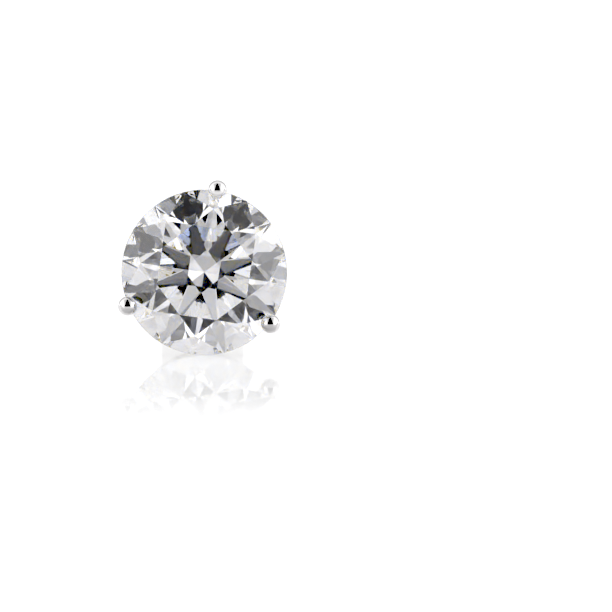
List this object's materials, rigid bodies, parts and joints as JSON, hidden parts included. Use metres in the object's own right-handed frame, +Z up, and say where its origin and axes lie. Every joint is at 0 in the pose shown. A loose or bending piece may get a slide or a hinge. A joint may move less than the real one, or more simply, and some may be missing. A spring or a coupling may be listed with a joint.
{
  "type": "stud earring",
  "caption": "Round brilliant-cut stone in a ball-tipped prong setting on a straight ear post, with a butterfly friction clutch pushed onto the post.",
  "frame": {"origin": "on the surface that the stud rests on, below the middle of its bounding box", "axes": "+Z up; -Y the way the stone's table faces, tilted up by about 2.4 degrees; +Y along the post to its tip"},
  "size_m": [0.0066, 0.0158, 0.0069],
  "materials": {
    "cut_stone": "clear and colourless, polished facets",
    "white_metal": "high polish"
  },
  "bodies": {
    "root": {"stone": "cut_stone", "setting": "white_metal", "clutch": "white_metal"}
  },
  "joints": []
}
